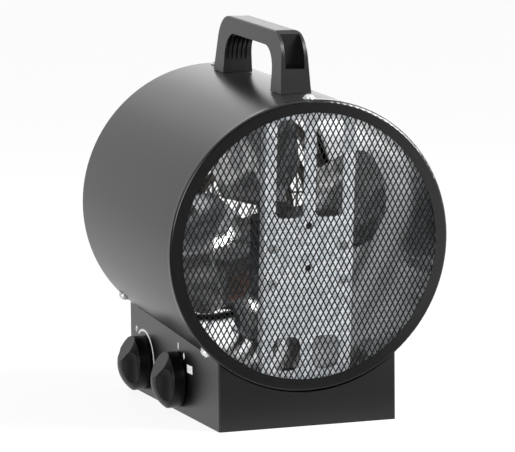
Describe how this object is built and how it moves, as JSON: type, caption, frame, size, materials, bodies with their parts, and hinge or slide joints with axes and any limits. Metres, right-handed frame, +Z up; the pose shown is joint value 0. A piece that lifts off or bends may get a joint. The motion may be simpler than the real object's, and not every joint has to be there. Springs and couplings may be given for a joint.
{
  "type": "forced air heater",
  "caption": "Portable round electric fan heater: a tilted black sheet-metal drum with mesh front, carry handle and two side knobs on a box base.",
  "frame": {"origin": "middle of the underside of the base, on the surface the heater stands on", "axes": "+Z up; -Y towards the open mesh end with the black bezel; -X towards the side with the two knobs; +Y towards the raised outlet end"},
  "size_m": [0.2116, 0.2436, 0.2911],
  "materials": {
    "black_powder_coat": "satin black powder coat",
    "black_enamel": "glossy black enamel",
    "black_mesh": "satin black paint",
    "galvanised": "zinc coated, fine spangle",
    "bright_zinc": "bright zinc plate",
    "blued_steel": "dark varnished laminations",
    "steel": "ground",
    "winding": "enamelled copper under tape",
    "bronze": "sintered bronze",
    "fan_aluminium": "mill finish",
    "rod_stainless": "heat-tinted stainless",
    "ceramic": "glazed steatite",
    "phenolic": "moulded phenolic",
    "handle_plastic": "fine-textured black plastic",
    "knob_plastic": "semi-gloss black plastic",
    "control_plastic": "off-white plastic",
    "black_plastic": "black nylon",
    "rubber_black": "matte"
  },
  "bodies": {
    "frame": {"casing": "black_powder_coat", "front_bezel": "black_enamel", "front_mesh": "black_mesh", "mesh_retainer": "galvanised", "inner_liner": "galvanised", "casing_screws": "bright_zinc", "liner_spacers": "steel", "motor_bracket": "galvanised", "bracket_rivets": "steel", "stator_core": "blued_steel", "stator_coil": "winding", "front_bearing_bridge": "galvanised", "rear_bearing_bridge": "galvanised", "front_bearing": "bronze", "rear_bearing": "bronze", "motor_spacers": "steel", "motor_screws": "bright_zinc", "motor_nuts": "bright_zinc", "heating_rod_inner": "rod_stainless", "heating_rod_middle": "rod_stainless", "heating_rod_outer": "rod_stainless", "rod_plate": "galvanised", "rod_ceramics": "ceramic", "rod_terminals": "steel", "thermal_cutout": "phenolic", "rear_hoop": "black_enamel", "rear_guard": "bright_zinc", "handle": "handle_plastic", "handle_screws": "bright_zinc", "saddle_rails": "galvanised", "saddle_screws": "bright_zinc", "wire_grommet": "rubber_black", "base_box": "black_powder_coat", "base_plate": "galvanised", "base_screws": "bright_zinc", "terminal_block": "control_plastic", "terminal_screws": "bright_zinc", "thermostat_body": "phenolic", "thermostat_nut": "bright_zinc", "selector_body": "control_plastic", "selector_nut": "bright_zinc", "cable_gland": "black_plastic", "gland_seal": "rubber_black", "gland_nut": "black_plastic"},
    "fan": {"motor_shaft": "steel", "rotor_core": "blued_steel", "fan_hub": "fan_aluminium", "fan_blades": "fan_aluminium", "fan_nut": "bright_zinc"},
    "thermostat_control": {"thermostat_spindle": "steel", "thermostat_knob": "knob_plastic"},
    "selector_control": {"selector_spindle": "steel", "selector_knob": "knob_plastic"}
  },
  "joints": [
    {"name": "fan_spin", "type": "hinge", "parent": "frame", "child": "fan", "pos_m": [0, -0.004, 0.1393], "axis": [0, 0.9966, 0.0819], "continuous": true},
    {"name": "thermostat_turn", "type": "hinge", "parent": "frame", "child": "thermostat_control", "pos_m": [-0.068, 0.0703, 0.0244], "axis": [1, 0, 0], "range_deg": [-37, 233]},
    {"name": "selector_turn", "type": "hinge", "parent": "frame", "child": "selector_control", "pos_m": [-0.068, -0.0137, 0.0244], "axis": [1, 0, 0], "range_deg": [0, 72]}
  ]
}
